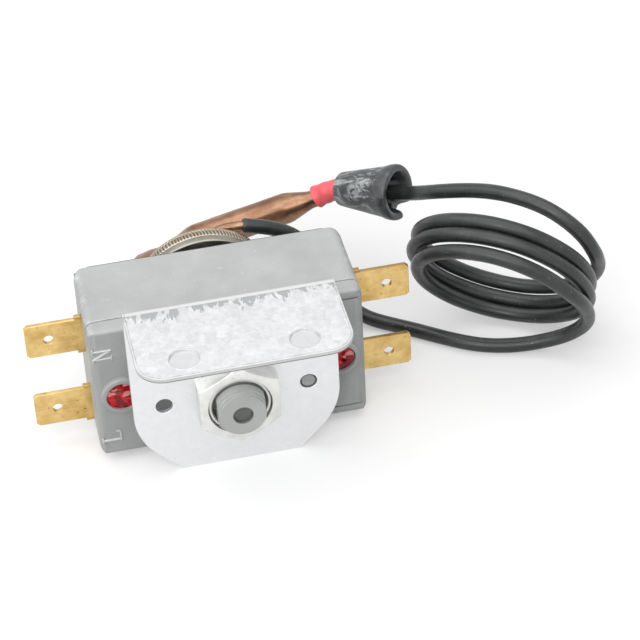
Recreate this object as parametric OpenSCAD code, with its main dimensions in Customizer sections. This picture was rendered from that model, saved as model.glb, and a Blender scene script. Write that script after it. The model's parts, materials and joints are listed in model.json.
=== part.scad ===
// Double-pole thermal cut-out with a liquid-filled sensing bulb, for a water heater.
// Built round the reset button's axis: X runs across the tabs, Y from the front to the back, Z up.
// place() then sets the assembly on the floor with the origin under the middle of its outline.

/* [Housing] */
// Width of the housing between its end faces
housing_w = 45; // [44:0.5:50]
// Height of the housing
housing_h = 25.5; // [25:0.1:29]
// Height of the housing's middle above the button's axis
housing_lift = 0.45; // [0:0.05:0.6]
// Depth of the front cover, from its face to the seam
cover_depth = 2.8; // [2.4:0.1:3.6]
// Depth of the rear case, from the seam to its back
case_depth = 15; // [14.5:0.5:18]
// Wall of the case and of the cover
wall = 1.6; // [1.2:0.1:1.8]
// Radius of the corners seen from the front
corner_r = 1.6; // [0.8:0.1:2.4]
// Radius of the upright edges at the back
back_edge_r = 2; // [1:0.1:3]
// Fillet along the cover's long edges
cover_fillet = 0.7; // [0.3:0.1:1]
// Fillet along the cover's upright edges
end_fillet = 1.4; // [0.6:0.1:1.6]
// Width and depth of the groove along the seam
seam_groove = 0.3; // [0.1:0.05:0.5]

/* [Cover screws] */
// Distance of each screw from the housing's end
screw_inset = 4.5; // [4:0.1:5.5]
// Outer diameter of the raised ring round a screw
ring_d = 7; // [6.4:0.1:7.6]
// Height of that ring above the cover
ring_h = 0.8; // [0.4:0.1:1.2]
// Diameter of a screw's head
head_d = 5; // [4.4:0.1:5.4]
// Height of a screw's head
head_h = 1.2; // [0.9:0.1:1.4]
// Diameter of a screw's shank
shank_d = 2.5; // [2:0.1:2.9]
// Length of a screw's shank
shank_len = 9; // [6:0.5:11]

/* [Bracket] */
// Thickness of the bracket's sheet
sheet_t = 0.8; // [0.6:0.1:1.2]
// Width of the bracket
bracket_w = 34; // [33:0.5:36]
// Height of the bracket's flange above the button's axis
flange_z = 19.8; // [18.5:0.1:23]
// Reach of the flange in front of the plate
flange_len = 17.6; // [16.5:0.1:20]
// Radius of the flange's free corners
flange_corner_r = 4.4; // [2:0.1:5]
// Inner radius of the bend
bend_r = 0.3; // [0.2:0.1:1.5]
// Width of the plate's bottom edge
foot_w = 19.9; // [18:0.1:22]
// Drop of that edge below the housing
foot_drop = 1.5; // [0:0.1:2]
// Height above the bottom edge at which the plate has its full width
cut_h = 7.3; // [6.5:0.1:9.5]
// Radius between a slanting cut and the plate's side
cut_r = 12; // [3:0.5:14]
// Distance between the plate and the cover
standoff = 4.05; // [3.5:0.05:4.5]
// Diameter of the two holes in the flange
mount_hole_d = 4.6; // [3.6:0.1:5.2]
// Distance between those holes
mount_pitch = 18.9; // [17:0.1:20]
// Distance of those holes in front of the plate
mount_reach = 13.35; // [11:0.05:13.6]
// Diameter of the two small holes in the plate
peg_hole_d = 2.8; // [2.6:0.1:3.2]
// Diameter of the cover's locating peg
peg_d = 2.2; // [1.8:0.1:2.4]
// Distance of the small holes from the middle
peg_x = 11.9; // [11:0.1:12.6]

/* [Reset button] */
// Outer diameter of the threaded bush
bush_d = 10.4; // [10:0.1:11]
// Bore of the bush
bush_bore = 9; // [8.6:0.1:9.2]
// Reach of the bush in front of the plate
bush_reach = 3; // [2.6:0.1:3.4]
// Diameter of the bush's collar behind the plate
collar_d = 13.4; // [12.4:0.2:15]
// Nut's width across flats
nut_af = 13.2; // [12.6:0.1:15]
// Nut's thickness
nut_h = 3.4; // [2.6:0.1:4]
// Radial clearance of the button in the bush
button_play = 0.08; // [0.04:0.01:0.1]
// Reach of the button in front of the bush
button_reach = 2.7; // [2.2:0.1:3.2]
// Width across the button's two flats
button_flats = 7.7; // [7:0.1:8.2]
// Height of each of the two steps round the button's face
button_step = 0.5; // [0.3:0.1:0.7]
// Diameter of the pin in the button's middle
pin_d = 3; // [2.4:0.1:3.6]
// Travel of the button when the cut-out trips
trip_travel = 2; // [1.5:0.1:2.2]

/* [Terminals] */
// Width of a tab
tab_w = 6.3; // [5.8:0.1:6.6]
// Thickness of a tab
tab_t = 0.8; // [0.6:0.1:1]
// Reach of a tab past the housing's end
tab_len = 9.5; // [8.5:0.1:11]
// Chamfer of a tab's tip
tab_chamfer = 0.5; // [0.3:0.1:1.2]
// Distance of a tab's hole from the housing's end
tab_hole_x = 5.7; // [4.6:0.1:6]
// Diameter of a tab's hole
tab_hole_d = 1.65; // [1.4:0.05:2]
// Clearance between the lower tabs and the case's floor
tab_gap = 0.35; // [0.2:0.05:0.6]
// Depth of the tabs behind the cover's face
tab_y = 8.4; // [8.2:0.1:8.8]
// Distance of the contacts from the middle
contact_x = 8.5; // [8:0.1:10]
// Diameter of a contact rivet
contact_d = 3; // [2.4:0.1:3.4]
// Height of a contact rivet
contact_h = 0.7; // [0.6:0.05:0.8]

/* [Capsule] */
// Radius of the capsule's welded rim
rim_r = 11.7; // [11:0.1:12.5]
// Thickness of that rim
rim_t = 3.6; // [3:0.1:4.2]
// Distance of the rim behind the back plate
rim_gap = 3; // [2.6:0.1:4]
// Radius of the capsule's neck
neck_r = 5; // [4:0.1:6]
// Thickness of the diaphragm
diaphragm_t = 0.2; // [0.15:0.05:0.3]
// Thickness of the back plate
plate_t = 1; // [0.6:0.1:1.4]
// Distance of the back plate's edge from the housing's end
plate_inset = 1.4; // [0.8:0.1:2]
// Reach of the plate's pointed ear at its upper left corner
ear_reach = 1.1; // [0.6:0.1:1.4]
// Diameter of the pin that the diaphragm pushes
push_d = 2; // [1.6:0.1:2.6]

/* [Capillary] */
// Diameter of the bare capillary
capillary_d = 1.6; // [1.2:0.1:2]
// Diameter of the sleeve over the capillary
sleeve_d = 2.5; // [2:0.1:3]
// Radius of the coil at the middle of the sleeve
coil_r = 15.2; // [14:0.1:16]
// Advance of the coil in one turn
coil_pitch = 2.65; // [2.5:0.05:3]

/* [Bulb] */
// Diameter of the bulb
bulb_d = 5.5; // [4.8:0.1:6]
// Length of the bulb's straight barrel
barrel_len = 18.1; // [15:0.1:30]
// Length of the bulb's cone
cone_len = 4.9; // [4:0.1:6]
// Length over which the bulb's tail flattens
taper_len = 7.7; // [5:0.1:9]
// Length of the flat crimp at its end
crimp_len = 4.6; // [3:0.1:6]
// Thickness of that crimp
crimp_t = 1.4; // [1:0.1:2]
// Diameter of the bulb's neck
bulb_neck_d = 3.1; // [2.6:0.1:3.4]
// Diameter of the shrink sleeve over the neck
shrink_d = 3.8; // [3.5:0.1:4.4]
// Length of the grommet
grommet_len = 12; // [10:0.5:14]
// Diameter of the grommet's mouth
mouth_d = 9.8; // [9:0.1:11]
// Diameter of the grommet's small end
heel_d = 6; // [5.4:0.1:7]
// Wall of the grommet at its mouth
mouth_wall = 1.3; // [1:0.1:1.8]

/* [Hidden] */
$fn = 48;

// Clearances
fit = 0.05;
slot_play = 0.1;
contact_gap = 0.1;
running_gap = 0.2;

// Small steps and lips
bush_lip = 0.8;
bush_rim = 0.9;
seat_depth = 0.7;
carrier_tail = 3.4;
crown_rise = 0.7;
boss_len = 1.2;
boss_wall = 1.4;
stub_bow = 2.2;
stake_rise = 0.5;
plate_trim = 0.6;
nut_bevel = 1.1;
tab_overlap = 0.6;
shoulder_len = 1.2;
shoulder_step = 0.55;
push_head_d = 4.4;
push_head_t = 0.6;
step_inset = 0.28;
flats_sink = 2;

// Capsule: pressed shells with a rounded lip
shell_t = 0.6;
rim_lip = 0.3;
rim_land = 1.8;
weld_w = 2;
crown_slope = 1.4;
dish_rim = 1.6;
dish_drop = 0.9;
flare_in = 0.8;
neck_len = 1.65;
neck_foot = 1;
foot_t = 0.8;

// Planes from the front to the back
seam_y = cover_depth;
back_y = cover_depth + case_depth;
floor_y = back_y - wall;
plate_front = -standoff - sheet_t;
bush_front = plate_front - bush_reach;
bush_rear = wall + bush_lip;
button_face = bush_front - button_reach;
ring_face = -ring_h;
head_seat = wall - seat_depth;
tab_front = tab_y - tab_t / 2;
tab_back = tab_y + tab_t / 2;
fixed_face = tab_front - contact_h;
moving_face = fixed_face - contact_gap;
bridge_t = 0.5;
bridge_back = moving_face - contact_h;
bridge_front = bridge_back - bridge_t;
carrier_front = bush_rear + trip_travel + running_gap;
carrier_back = tab_back + carrier_tail;
plate_back = back_y + plate_t;
rim_front = plate_back + rim_gap;
rim_back = rim_front + rim_t;
diaphragm_front = rim_front + (rim_t - diaphragm_t) / 2;
diaphragm_back = diaphragm_front + diaphragm_t;
cap_crown = rim_back + crown_rise;
boss_end = cap_crown + boss_len;
stub_far = boss_end + stub_bow;

// Heights and half widths
housing_bottom = housing_lift - housing_h / 2;
housing_top = housing_lift + housing_h / 2;
bottom_z = housing_bottom - foot_drop;
half_w = housing_w / 2;
screw_x = half_w - screw_inset;
inner_x = half_w - wall;
inner_drop = -housing_bottom - wall;
tab_z = inner_drop - tab_gap - tab_w / 2;

// The cover's ring, the case's posts and what passes them
recess_d = head_d + 2 * running_gap;
post_wall = 1.55;
post_d = shank_d + 2 * post_wall;
groove_w = 0.35;
groove_len = 9;
groove_inset = 1.7;
stake_d = 2.4;
stake_inset = 3;
stake_x = screw_x - stake_inset;

// Carrier, bridges and guides
carrier_w = 9;
bridge_w = 3.4;
bridge_rim = 0.3;
bridge_half = contact_x + contact_d / 2 + bridge_rim;
carrier_rim = 1;
carrier_h = 2 * tab_z + bridge_w + 2 * carrier_rim;
rib_w = 3;
spring_wire = 0.6;
spring_play = 1.6;
spring_r = push_d / 2 + spring_play;
spring_turns = 4;
pin_pocket = 0.6;

// The assembly stands on the bracket's edge, with the origin under the middle of its outline
front_reach = plate_front - flange_len;
back_reach = stub_far + capillary_d / 2;
middle_y = (front_reach + back_reach) / 2;

// Coil: a close helix whose axis points away from the front and up
coil_centre = [47.4, 9.2, 0.4];
coil_rise = 32;
coil_turn = 31;
coil_turns = 3;

// Bulb and grommet: a place and a direction for each
grommet_heel = [27.6, 40.4, 4.3];
grommet_dir = [0.72, -0.652, 0.232];
bulb_neck = [22.8, 42.6, 1.5];
bulb_dir = [-0.885, 0.258, -0.386];
crimp_turn = 20;

// Route of the bare capillary from the capsule to its sleeve, measured from the capsule's boss
stub_route = [for (p = [[0, -1, 0], [0, 0.8, 0.2], [0.1, 1.9, 1.2], [0.5, 2.2, 3.4], [1.2, 1.8, 6],
    [2.5, 0.9, 8.1], [4.6, 0.3, 9.3], [7.7, 0, 9.5]]) [p[0], boss_end + p[1], p[2]]];

// Route of the sleeve from its cut end, down behind the housing and along the floor to the coil
lead_route = [[7.7, boss_end, 9.5], [10.7, 27.3, 8.7], [13.6, 27.4, 7.4], [16.6, 27.7, 5.4],
    [19.3, 27.9, 2.3], [21.8, 27.7, -1.9], [24.1, 27.1, -6.5], [26.2, 26, -10.6], [28.6, 24.2, -12.3],
    [31.8, 21.6, -12.5], [36, 18.3, -12.5], [40.5, 14.9, -12.5], [45, 12, -12.5], [50, 10.4, -12.5],
    [55.1, 9.9, -12.4], [58.3, 8.5, -11], [60.1, 7, -9.2], [61.2, 5.2, -6.6], [61.5, 3.6, -4]];

// Route of the sleeve from the coil over an arch to the grommet
tail_route = [[64.6, 7.4, 5.6], [63, 5.8, 9.2], [60.9, 5.8, 12.2], [58.4, 6.8, 14.8], [55.6, 9, 16.4],
    [52.2, 12.2, 16.9], [49.5, 15, 16.5], [46.9, 18, 15.4], [44.2, 21, 13.9], [40, 25, 11.7]];

function unit(v) = v / norm(v);

// Direction of a route at point i, from its neighbours
function heading(route, i) =
    unit(route[min(i + 1, len(route) - 1)] - route[max(i - 1, 0)]);

// Ring of points round a route's point, square to its heading
function ring(route, i, r, sides, across) =
    let (t = heading(route, i), u = unit(cross(t, across)), v = cross(t, u))
    [for (k = [0:sides - 1]) route[i] + r * (cos(360 * k / sides) * u + sin(360 * k / sides) * v)];

// Solid tube swept along a route; across is a direction that the route never takes
module tube(route, r, sides, across) {
    n = len(route);
    points = [for (i = [0:n - 1]) each ring(route, i, r, sides, across)];
    walls = [for (i = [0:n - 2], k = [0:sides - 1])
        let (a = i * sides + k, b = i * sides + (k + 1) % sides)
        each [[a, b, b + sides], [a, b + sides, a + sides]]];
    ends = [[for (k = [sides - 1:-1:0]) k], [for (k = [0:sides - 1]) (n - 1) * sides + k]];
    polyhedron(points, concat(walls, ends), convexity = 6);
}

// Rectangle with rounded corners, about its middle
module rounded_rect(w, h, r) {
    square([w - 2 * r, h], center = true);
    square([w, h - 2 * r], center = true);
    for (x = [-1, 1], z = [-1, 1])
        translate([x * (w / 2 - r), z * (h / 2 - r)]) circle(r);
}

// Slab of a front view's outline, from depth y0 to y1
module slab(y0, y1) {
    translate([0, y1, 0]) rotate([90, 0, 0]) linear_extrude(y1 - y0) children();
}

// Rod along the depth, from y0 to y1
module rod(d, y0, y1) {
    translate([0, y1, 0]) rotate([90, 0, 0]) cylinder(d = d, h = y1 - y0);
}

// Solid turned about the button's axis from a profile of radius and depth
module turned() {
    rotate([-90, 0, 0]) rotate_extrude() children();
}

// Sets a piece that is built along Z at a place and a direction
module along(place, dir) {
    d = unit(dir);
    translate(place) rotate([0, acos(d[2]), atan2(d[1], d[0])]) children();
}

module place() {
    translate([0, -middle_y, -bottom_z]) children();
}

module housing_outline(inset) {
    translate([0, housing_lift]) rounded_rect(housing_w - 2 * inset, housing_h - 2 * inset, corner_r);
}

// Section of the space inside the housing
module cavity_outline() {
    translate([0, housing_lift]) square([2 * inner_x, housing_h - 2 * wall], center = true);
}

module rear_case() {
    color([0.74, 0.75, 0.74]) place() difference() {
        union() {
            difference() {
                case_block();
                slab(seam_y - fit, floor_y) cavity_outline();
            }
            for (x = [-screw_x, screw_x]) screw_post(x);
            for (x = [-1, 1], z = [-tab_z, tab_z]) terminal_rib(x, z);
            for (x = [-stake_x, stake_x]) translate([x, 0, 0])
                rod(stake_d, back_y - fit, plate_back + stake_rise);
        }
        for (x = [-1, 1], z = [-tab_z, tab_z]) terminal_slot(x, z);
        for (x = [-screw_x, screw_x]) translate([x, 0, 0])
            rod(shank_d + 2 * fit, 0, head_seat + shank_len + 0.5);
        rod(push_d + 2 * slot_play, floor_y - 1, back_y + 1);
    }
}

// Outer block of the case, stepped in along the seam and rounded at its upright back edges
module case_block() {
    intersection() {
        union() {
            slab(seam_y, back_y) housing_outline(seam_groove);
            slab(seam_y + seam_groove, back_y) housing_outline(0);
        }
        translate([0, back_y - case_depth, housing_bottom]) linear_extrude(housing_h)
            rounded_rect(housing_w, 2 * case_depth, back_edge_r);
    }
}

// Post for a cover screw, cleared where the tabs pass it
module screw_post(x) {
    difference() {
        translate([x, 0, 0]) rod(post_d, wall, floor_y + fit);
        for (z = [-tab_z, tab_z]) translate([x, tab_y, z])
            cube([2 * post_d, tab_t + 2 * slot_play, tab_w + 2 * slot_play], center = true);
    }
}

module terminal_rib(x, z) {
    near_x = contact_x - contact_d / 2;
    translate([x > 0 ? near_x : -inner_x - fit, tab_back, z - rib_w / 2])
        cube([inner_x - near_x + fit, floor_y - tab_back + fit, rib_w]);
}

module terminal_slot(x, z) {
    translate([x * (half_w - wall / 2), tab_y, z])
        cube([wall + 1, tab_t + 2 * slot_play, tab_w + 2 * slot_play], center = true);
}

module front_cover() {
    color([0.62, 0.63, 0.62]) place() difference() {
        union() {
            cover_shell();
            for (x = [-screw_x, screw_x]) translate([x, 0, 0]) screw_ring();
            translate([peg_x, 0, 0]) rod(peg_d, plate_front + 0.2, fit);
        }
        rod(bush_d + 2 * fit, -1, wall + 1);
        for (x = [-screw_x, screw_x]) translate([x, 0, 0]) {
            rod(recess_d, ring_face - 1, head_seat);
            rod(shank_d + 2 * fit, 0, wall + 1);
        }
        for (z = [housing_bottom + groove_inset, housing_top - groove_inset])
            translate([half_w - groove_len, -fit, z - groove_w / 2])
                cube([groove_len + 1, groove_w + fit, groove_w]);
    }
}

// Raised ring round a screw, with a rounded outer lip
module screw_ring() {
    lip = ring_h / 2;
    lip_r = ring_d / 2 - lip;
    turned() {
        polygon([[0, fit], [ring_d / 2, fit], [ring_d / 2, ring_face + lip], [lip_r, ring_face + lip],
            [lip_r, ring_face], [0, ring_face]]);
        translate([lip_r, ring_face + lip]) circle(lip);
    }
}

// Shallow tray with its face edges rounded
module cover_shell() {
    difference() {
        intersection() {
            slab(0, seam_y) housing_outline(0);
            translate([0, cover_depth, housing_bottom]) linear_extrude(housing_h)
                rounded_rect(housing_w, 2 * cover_depth, end_fillet);
            translate([-half_w, cover_depth, housing_lift]) rotate([90, 0, 90]) linear_extrude(housing_w)
                rounded_rect(2 * cover_depth, housing_h, cover_fillet);
        }
        slab(wall, seam_y + 1) cavity_outline();
    }
}

// Cross-head screw in a cover ring
module cover_screw(x) {
    head_top = head_seat - head_h;
    color([0.72, 0.1, 0.14]) place() translate([x, 0, 0]) difference() {
        union() {
            rod(head_d, head_top, head_seat);
            rod(shank_d, head_seat - fit, head_seat + shank_len);
        }
        for (turn = [45, 135]) rotate([0, turn, 0])
            translate([0, head_top, 0]) cube([head_d * 0.6, head_h, 0.7], center = true);
    }
}

module cover_screw_left() { cover_screw(-screw_x); }
module cover_screw_right() { cover_screw(screw_x); }

// Bent sheet: an upright plate with slanting lower corners and a flange towards the front
module mounting_bracket() {
    color([0.86, 0.88, 0.9]) place() difference() {
        intersection() {
            translate([-bracket_w / 2, 0, 0]) rotate([90, 0, 90]) linear_extrude(bracket_w) bend_profile();
            union() {
                slab(plate_front, -standoff) plate_outline();
                translate([0, 0, flange_z - sheet_t - bend_r]) linear_extrude(sheet_t + bend_r + 1)
                    flange_outline();
            }
        }
        rod(bush_d + 2 * slot_play, plate_front - 1, 0);
        for (x = [-peg_x, peg_x]) translate([x, 0, 0]) rod(peg_hole_d, plate_front - 1, 0);
        for (x = [-mount_pitch / 2, mount_pitch / 2])
            translate([x, plate_front - mount_reach, flange_z - sheet_t - 1])
                cylinder(d = mount_hole_d, h = sheet_t + 2);
    }
}

// Side view of the sheet: plate, bend and flange
module bend_profile() {
    outer_r = bend_r + sheet_t;
    translate([plate_front, bottom_z]) square([sheet_t, flange_z - outer_r - bottom_z]);
    translate([plate_front - flange_len, flange_z - sheet_t]) square([flange_len - bend_r, sheet_t]);
    translate([plate_front - bend_r, flange_z - outer_r]) intersection() {
        difference() {
            circle(outer_r);
            circle(bend_r);
        }
        square(outer_r);
    }
}

// Front view of the plate; a circle rounds each slanting cut into the side
module plate_outline() {
    side = bracket_w / 2;
    slope = atan2(cut_h, side - foot_w / 2);
    swing = 90 - slope;
    lead = cut_r * tan(swing / 2);
    corner_z = bottom_z + cut_h;
    low = [side - lead * cos(slope), corner_z - lead * sin(slope)];
    polygon([[-foot_w / 2, bottom_z], [foot_w / 2, bottom_z], low, [side, corner_z + lead], [side, flange_z],
        [-side, flange_z], [-side, corner_z + lead], [-low[0], low[1]]]);
    for (x = [-1, 1]) translate([x * (side - cut_r), corner_z + lead]) circle(cut_r);
}

// Top view of the flange
module flange_outline() {
    depth = 2 * (flange_len + sheet_t);
    translate([0, -standoff]) rounded_rect(bracket_w, depth, flange_corner_r);
}

// Threaded bush with a collar under the bracket and a rim inside the cover
module reset_bush() {
    rim_d = bush_d + 2 * bush_rim;
    color([0.8, 0.81, 0.82]) place() difference() {
        union() {
            rod(bush_d, bush_front, bush_rear);
            rod(collar_d, -standoff, 0);
            rod(rim_d, wall, bush_rear);
        }
        rod(bush_bore, bush_front - 1, bush_rear + 1);
    }
}

// Hexagon nut with its corners turned down on the front side
module bush_nut() {
    corner_d = nut_af / cos(30);
    color([0.84, 0.85, 0.86]) place() difference() {
        intersection() {
            slab(plate_front - nut_h, plate_front) rotate(90) circle(d = corner_d, $fn = 6);
            translate([0, plate_front, 0]) turned()
                polygon([[0, 0], [corner_d / 2 + 1, 0], [corner_d / 2 + 1, -nut_h + nut_bevel],
                    [nut_af / 2 - running_gap, -nut_h], [0, -nut_h]]);
        }
        rod(bush_d + 2 * fit, plate_front - nut_h - 1, plate_front + 1);
    }
}

// Reset button: a round stem in the bush, two small steps round its face, and two flats
module reset_button() {
    stem_r = bush_bore / 2 - button_play;
    flats_end = bush_front + flats_sink;
    first_step = button_face + button_step;
    second_step = first_step + button_step;
    color([0.58, 0.59, 0.58]) place() difference() {
        union() {
            rod(2 * stem_r, flats_end, carrier_front);
            intersection() {
                turned() polygon([[0, button_face], [stem_r - 2 * step_inset, button_face],
                    [stem_r - 2 * step_inset, first_step], [stem_r - step_inset, first_step],
                    [stem_r - step_inset, second_step], [stem_r, second_step],
                    [stem_r, flats_end], [0, flats_end]]);
                cube([button_flats, 4 * abs(button_face), housing_h], center = true);
            }
        }
        rod(pin_d + 2 * fit, button_face - 1, 0);
    }
}

// Pin that shows in the middle of the button, a little below its face
module button_pin() {
    sink = 0.3;
    color([0.3, 0.31, 0.31]) place() rod(pin_d, button_face + sink, 0);
}

// Slide behind the button, with a window for each bridge
module contact_carrier() {
    color([0.9, 0.89, 0.84]) place() difference() {
        slab(carrier_front, carrier_back) rounded_rect(carrier_w, carrier_h, 1);
        for (z = [-tab_z, tab_z])
            translate([-carrier_w / 2 - 1, bridge_front - fit, z - bridge_w / 2 - fit])
                cube([carrier_w + 2, bridge_t + 2 * fit, bridge_w + 2 * fit]);
        rod(push_d + 2, carrier_back - pin_pocket, carrier_back + 1);
    }
}

// Spring-bronze strip that joins a pole's two terminals
module bridge(z) {
    color([0.8, 0.6, 0.36]) place() translate([0, 0, z]) slab(bridge_front, bridge_back)
        rounded_rect(2 * bridge_half, bridge_w, 1.2);
}

module bridge_n() { bridge(tab_z); }
module bridge_l() { bridge(-tab_z); }

module moving_contacts(z) {
    color([0.83, 0.83, 0.82]) place() for (x = [-contact_x, contact_x])
        translate([x, 0, z]) rod(contact_d, bridge_back, moving_face);
}

module moving_contacts_n() { moving_contacts(tab_z); }
module moving_contacts_l() { moving_contacts(-tab_z); }

// Flat tab with a shoulder at the housing's end, a pierced hole and a chamfered tip
module terminal(side, z) {
    half = tab_w / 2;
    inner = contact_x - contact_d / 2 - tab_overlap;
    tip = half_w + tab_len;
    shoulder_half = half + shoulder_step;
    color([0.85, 0.7, 0.4]) place() translate([0, 0, z]) mirror([side < 0 ? 1 : 0, 0, 0]) difference() {
        slab(tab_front, tab_back) {
            polygon([[inner, -half], [tip - tab_chamfer, -half], [tip, tab_chamfer - half],
                [tip, half - tab_chamfer], [tip - tab_chamfer, half], [inner, half]]);
            translate([half_w, -shoulder_half]) square([shoulder_len, 2 * shoulder_half]);
        }
        translate([half_w + tab_hole_x, 0, 0]) rod(tab_hole_d, tab_front - 1, tab_back + 1);
    }
}

module terminal_n_left() { terminal(-1, tab_z); }
module terminal_n_right() { terminal(1, tab_z); }
module terminal_l_left() { terminal(-1, -tab_z); }
module terminal_l_right() { terminal(1, -tab_z); }

module fixed_contact(x, z) {
    color([0.83, 0.83, 0.82]) place() translate([x, 0, z]) rod(contact_d, fixed_face, tab_front);
}

module fixed_contact_n_left() { fixed_contact(-contact_x, tab_z); }
module fixed_contact_n_right() { fixed_contact(contact_x, tab_z); }
module fixed_contact_l_left() { fixed_contact(-contact_x, -tab_z); }
module fixed_contact_l_right() { fixed_contact(contact_x, -tab_z); }

// Coil spring between the case's floor and the carrier
module trip_spring() {
    steps = 12 * spring_turns;
    start = carrier_back + spring_wire / 2 + running_gap;
    rise = floor_y - spring_wire / 2 - start;
    route = [for (i = [0:steps])
        let (a = 360 * spring_turns * i / steps)
        [spring_r * cos(a), start + rise * i / steps, spring_r * sin(a)]];
    color([0.7, 0.71, 0.72]) place() tube(route, spring_wire / 2, 6, [0, 1, 0]);
}

// Pin from the diaphragm to the carrier, with a flat head on the diaphragm
module push_pin() {
    head_back = diaphragm_front - contact_gap;
    color([0.78, 0.79, 0.8]) place() {
        rod(push_d, carrier_back - pin_pocket + contact_gap, head_back);
        rod(push_head_d, head_back - push_head_t, head_back);
    }
}

// Plate behind the case, held by the case's two stakes, with a pointed ear at one corner
module back_plate() {
    plate_half = half_w - plate_inset;
    ear_top = housing_top - ear_reach;
    color([0.36, 0.36, 0.35]) place() slab(back_y, plate_back) difference() {
        union() {
            translate([0, housing_lift])
                rounded_rect(2 * plate_half, housing_h - 2 * plate_trim, corner_r);
            polygon([[-plate_half, ear_top], [-plate_half - ear_reach, ear_top - ear_reach / 2],
                [-plate_half, ear_top - 2 * ear_reach], [1 - plate_half, ear_top - ear_reach]]);
        }
        circle(d = push_d + 2 * slot_play);
        for (x = [-stake_x, stake_x]) translate([x, 0]) circle(d = stake_d + 2 * fit);
    }
}

// Front half of the capsule: a foot on the back plate, a neck with the pin's guide, and a dish
module capsule_front() {
    guide_r = push_d / 2 + fit;
    flare_y = plate_back + neck_len;
    dish_floor = rim_front - dish_drop;
    color([0.62, 0.6, 0.55]) place() turned() polygon([[guide_r, plate_back],
        [neck_r + neck_foot, plate_back], [neck_r + neck_foot, plate_back + foot_t],
        [neck_r, plate_back + foot_t], [neck_r, flare_y],
        [rim_r - flare_in, rim_front], [rim_r - rim_lip, rim_front], [rim_r, rim_front + rim_lip],
        [rim_r, diaphragm_front], [rim_r - dish_rim, diaphragm_front], [neck_r, dish_floor],
        [guide_r, dish_floor]]);
}

module diaphragm() {
    color([0.76, 0.75, 0.7]) place() rod(2 * (rim_r - rim_lip), diaphragm_front, diaphragm_back);
}

// Rear half of the capsule: a domed cap with a boss that takes the capillary
module capsule_back() {
    boss_r = capillary_d / 2 + boss_wall;
    land_r = rim_r - rim_land;
    inner_r = rim_r - weld_w;
    color([0.62, 0.6, 0.55]) place() difference() {
        turned() polygon([[0, diaphragm_back], [rim_r, diaphragm_back], [rim_r, rim_back - rim_lip],
            [rim_r - rim_lip, rim_back], [land_r, rim_back], [land_r - crown_slope, cap_crown],
            [boss_r, cap_crown], [boss_r, boss_end], [0, boss_end]]);
        turned() polygon([[0, diaphragm_back - 1], [inner_r, diaphragm_back - 1], [inner_r, diaphragm_back],
            [inner_r - crown_slope, cap_crown - shell_t], [0, cap_crown - shell_t]]);
        rod(capillary_d + 2 * fit, cap_crown - 1, boss_end + 1);
    }
}

module capillary_stub() {
    color([0.72, 0.45, 0.3]) place() tube(stub_route, capillary_d / 2, 8, [1, 1, 0]);
}

module capillary_lead() {
    color([0.17, 0.18, 0.18]) place() tube(lead_route, sleeve_d / 2, 8, [1, 1, 0]);
}

// Outer shape of the coil's turns
module capillary_coil() {
    color([0.17, 0.18, 0.18]) place() translate(coil_centre) rotate([0, 0, -coil_turn])
        rotate([coil_rise - 90, 0, 0]) rotate_extrude() translate([coil_r, 0]) {
            translate([-sleeve_d / 2, 0]) square([sleeve_d, coil_turns * coil_pitch]);
            circle(d = sleeve_d);
            translate([0, coil_turns * coil_pitch]) circle(d = sleeve_d);
        }
}

module capillary_tail() {
    inside = [for (s = [grommet_len, grommet_len / 2, 0]) grommet_heel + s * unit(grommet_dir)];
    color([0.17, 0.18, 0.18]) place() tube(concat(tail_route, inside), sleeve_d / 2, 8, [1, 1, 0]);
}

// Conical rubber cup with a notch in its rim
module grommet() {
    floor_z = 4;
    bore_r = sleeve_d / 2 + fit;
    notch_w = 2.8;
    notch_h = 3.2;
    notch_turn = 20;
    color([0.26, 0.27, 0.27]) place() along(grommet_heel, grommet_dir) difference() {
        rotate_extrude() polygon([[bore_r, 0], [heel_d / 2 - 0.5, 0], [heel_d / 2, 0.6],
            [mouth_d / 2, grommet_len - 0.4], [mouth_d / 2 - 0.4, grommet_len],
            [mouth_d / 2 - mouth_wall, grommet_len], [heel_d / 2 - 0.4, floor_z], [bore_r, floor_z]]);
        rotate([0, 0, notch_turn]) translate([0, -notch_w / 2, grommet_len - notch_h])
            cube([mouth_d, notch_w, notch_h + 1]);
    }
}

// Shrink sleeve that bends from the grommet to the bulb's neck
module bulb_shrink_sleeve() {
    steps = 6;
    reach = norm(bulb_neck - grommet_heel);
    knee = (grommet_heel - unit(grommet_dir) * reach / 2 + bulb_neck - unit(bulb_dir) * reach / 2) / 2;
    route = [for (i = [0:steps])
        let (s = i / steps) (1 - s) * (1 - s) * grommet_heel + 2 * s * (1 - s) * knee + s * s * bulb_neck];
    color([0.85, 0.22, 0.26]) place() tube(route, shrink_d / 2, 12, [0, 0, 1]);
}

// Copper bulb: neck, cone, barrel, and a tail that flattens into a crimp
module sensing_bulb() {
    r = bulb_d / 2;
    barrel_end = cone_len + barrel_len;
    tail_end = barrel_end + taper_len;
    shoulder = 0.4;
    color([0.66, 0.4, 0.26]) place() along(bulb_neck, bulb_dir) {
        rotate_extrude()
            polygon([[0, 0], [bulb_neck_d / 2, 0], [r, cone_len], [r, barrel_end], [0, barrel_end]]);
        rotate([0, 0, crimp_turn]) {
            hull() {
                translate([0, 0, barrel_end - shoulder]) cylinder(r = r - fit, h = shoulder, $fn = 32);
                translate([-crimp_t / 2, -r, tail_end - shoulder]) cube([crimp_t, bulb_d, shoulder]);
            }
            translate([-crimp_t / 2, -r, tail_end]) cube([crimp_t, bulb_d, crimp_len]);
        }
    }
}

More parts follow.
